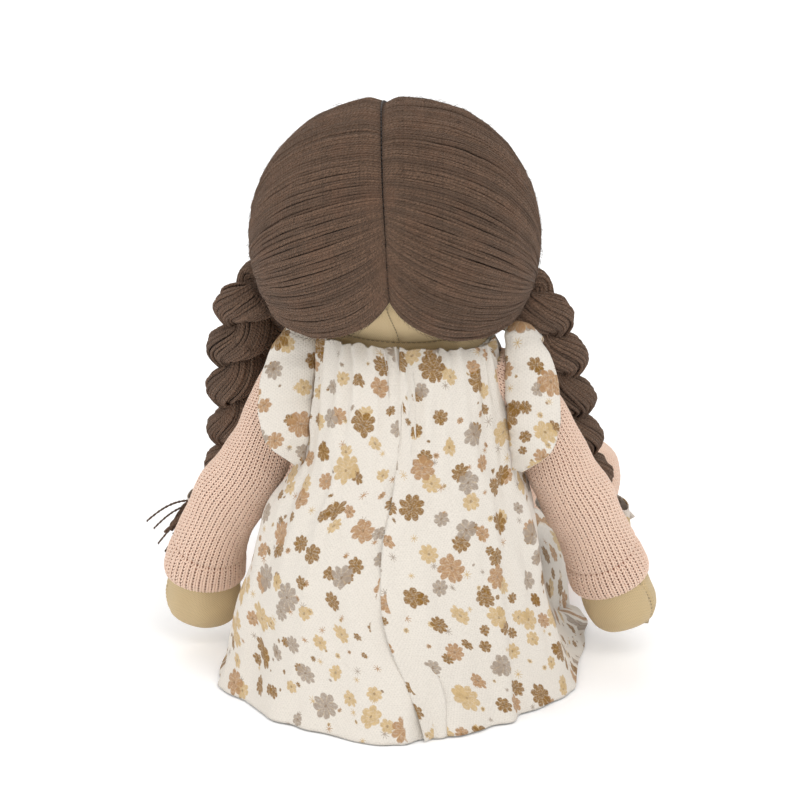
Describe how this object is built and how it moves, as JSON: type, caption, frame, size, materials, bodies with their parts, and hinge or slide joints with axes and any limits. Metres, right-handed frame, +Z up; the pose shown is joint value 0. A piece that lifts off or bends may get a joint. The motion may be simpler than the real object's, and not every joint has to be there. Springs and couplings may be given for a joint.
{
  "type": "rag doll",
  "caption": "Seated soft rag doll with a stuffed cloth body, yarn hair in two plaits with bows, knitted sleeves and stockings, and a gathered floral dress.",
  "frame": {"origin": "centre of the flat seat under the body, on the surface that the doll sits on", "axes": "+Z up from the seat to the head, -Y the way the doll faces, +X to the doll's left"},
  "size_m": [0.2016, 0.2441, 0.242],
  "materials": {
    "cotton": "tan plain-weave cotton",
    "wadding": "polyester wadding",
    "muslin": "off-white printed muslin",
    "tape": "woven tape",
    "yarn": "brown wool yarn",
    "thread": "dark stitching thread",
    "face_thread": "rose stitching thread",
    "knit": "pale pink fine knit",
    "bow_cloth": "floral printed cotton ribbon",
    "elastic": "covered hair elastic"
  },
  "bodies": {
    "torso": {"torso_cover": "cotton", "torso_stuffing": "wadding", "dress_body": "muslin", "dress_neck_elastic": "tape", "closure_hook_tape": "tape", "closure_loop_tape": "tape", "dress_flutter_left": "muslin", "dress_flutter_right": "muslin", "shoulder_seam_left": "cotton", "hip_seam_left": "cotton", "shoulder_seam_right": "cotton", "hip_seam_right": "cotton"},
    "neck": {"neck_plug": "wadding"},
    "head": {"head_cover": "cotton", "head_stuffing": "wadding", "hair_left": "yarn", "hair_right": "yarn", "parting_tape": "thread", "eye_left": "thread", "eye_right": "thread", "nose": "face_thread", "mouth": "face_thread"},
    "arm_left": {"arm_cover_left": "cotton", "arm_stuffing_left": "wadding", "sleeve_left": "knit", "cuff_left": "knit"},
    "leg_left": {"stocking_left": "knit", "leg_stuffing_left": "wadding"},
    "braid_left": {"braid_left_strand_1": "yarn", "braid_left_strand_2": "yarn", "braid_left_strand_3": "yarn", "hair_elastic_left": "elastic", "braid_tuft_left": "yarn", "bow_left": "bow_cloth"},
    "arm_right": {"arm_cover_right": "cotton", "arm_stuffing_right": "wadding", "sleeve_right": "knit", "cuff_right": "knit"},
    "leg_right": {"stocking_right": "knit", "leg_stuffing_right": "wadding"},
    "braid_right": {"braid_right_strand_1": "yarn", "braid_right_strand_2": "yarn", "braid_right_strand_3": "yarn", "hair_elastic_right": "elastic", "braid_tuft_right": "yarn", "bow_right": "bow_cloth"}
  },
  "joints": [
    {"name": "head_turn", "type": "hinge", "parent": "torso", "child": "neck", "pos_m": [0, 0, 0.1508], "axis": [0, 0, 1], "range_deg": [-25, 25], "deforming": ["braid_left_strand_1", "braid_left_strand_2", "braid_left_strand_3", "hair_elastic_left", "braid_tuft_left", "bow_left", "braid_right_strand_1", "braid_right_strand_2", "braid_right_strand_3", "hair_elastic_right", "braid_tuft_right", "bow_right"]},
    {"name": "head_nod", "type": "hinge", "parent": "neck", "child": "head", "pos_m": [0, 0, 0.1508], "axis": [1, 0, 0], "range_deg": [-12, 18], "deforming": ["dress_neck_elastic", "neck_plug"]},
    {"name": "arm_raise_left", "type": "hinge", "parent": "torso", "child": "arm_left", "pos_m": [0.0375, 0, 0.131], "axis": [0, -0.96, 0.28], "range_deg": [0, 62], "deforming": ["torso_cover", "torso_stuffing", "dress_body", "dress_flutter_left", "shoulder_seam_left"]},
    {"name": "leg_swing_left", "type": "hinge", "parent": "torso", "child": "leg_left", "pos_m": [0.022, -0.022, 0.014], "axis": [1, 0, 0], "range_deg": [0, 90], "deforming": ["hip_seam_left"]},
    {"name": "braid_swing_left", "type": "hinge", "parent": "torso", "child": "braid_left", "pos_m": [0.0622, -0.0245, 0.137], "axis": [1, 0, 0], "range_deg": [-50, 0]},
    {"name": "arm_raise_right", "type": "hinge", "parent": "torso", "child": "arm_right", "pos_m": [-0.0375, 0, 0.131], "axis": [0, 0.96, -0.28], "range_deg": [0, 62], "deforming": ["dress_flutter_right", "shoulder_seam_right"]},
    {"name": "leg_swing_right", "type": "hinge", "parent": "torso", "child": "leg_right", "pos_m": [-0.022, -0.022, 0.014], "axis": [1, 0, 0], "range_deg": [0, 90], "deforming": ["hip_seam_right"]},
    {"name": "braid_swing_right", "type": "hinge", "parent": "torso", "child": "braid_right", "pos_m": [-0.0622, -0.0245, 0.137], "axis": [1, 0, 0], "range_deg": [-50, 0]}
  ]
}
